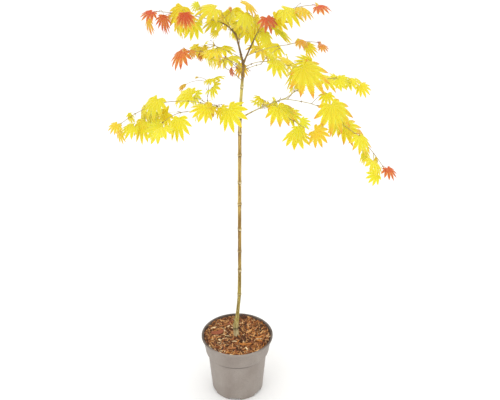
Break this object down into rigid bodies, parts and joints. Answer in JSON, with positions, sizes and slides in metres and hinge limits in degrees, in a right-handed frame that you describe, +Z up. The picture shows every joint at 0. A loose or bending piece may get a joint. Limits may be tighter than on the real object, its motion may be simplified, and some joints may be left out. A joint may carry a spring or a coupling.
{
  "type": "potted full moon maple",
  "caption": "Young full moon maple with a long bare stem, a forked top and an open crown of autumn leaves, standing in a round plastic nursery pot topped with bark mulch.",
  "frame": {"origin": "centre of the pot's flat underside", "axes": "+Z up along the trunk, -Y towards the side that the picture shows, +X to its right"},
  "size_m": [0.6489, 0.3794, 1.0456],
  "materials": {
    "pot_plastic": "matte taupe grey",
    "bark_mulch": "rough chipped bark",
    "bark": "smooth olive and tan bark",
    "leaf": "soft matte, yellow with orange and red"
  },
  "bodies": {
    "root": {"bough_back_low_left": "bark", "bough_back_low_right": "bark", "bough_back_mid_left": "bark", "bough_back_mid_right": "bark", "bough_back_top": "bark", "bough_fork_left_high": "bark", "bough_fork_left_low": "bark", "bough_fork_right_high": "bark", "bough_fork_right_low": "bark", "bough_front_right": "bark", "bough_left_rising": "bark", "bough_lower_left": "bark", "bough_lower_left_inner": "bark", "bough_lower_left_outer": "bark", "bough_lower_right": "bark", "bough_lower_right_outer": "bark", "bough_lower_right_rising": "bark", "bough_lower_right_side": "bark", "bough_lower_right_tail": "bark", "bough_top_left": "bark", "bough_top_right": "bark", "foliage_back_low_left": "leaf", "foliage_back_low_right": "leaf", "foliage_back_mid_left": "leaf", "foliage_back_mid_right": "leaf", "foliage_back_top": "leaf", "foliage_fork": "leaf", "foliage_front_right": "leaf", "foliage_left_rising": "leaf", "foliage_lower_left_inner": "leaf", "foliage_lower_left_mid": "leaf", "foliage_lower_left_outer": "leaf", "foliage_lower_right_inner": "leaf", "foliage_lower_right_mid": "leaf", "foliage_lower_right_tail": "leaf", "foliage_lower_right_upper": "leaf", "foliage_mid_left": "leaf", "foliage_mid_left_high": "leaf", "foliage_mid_right": "leaf", "foliage_mid_right_outer": "leaf", "foliage_right_upper": "leaf", "foliage_top_centre": "leaf", "foliage_top_centre_left": "leaf", "foliage_top_left": "leaf", "foliage_top_right": "leaf", "foliage_top_right_inner": "leaf", "leader_left": "bark", "leader_right": "bark", "mulch": "bark_mulch", "pot": "pot_plastic", "trunk": "bark"}
  },
  "joints": []
}
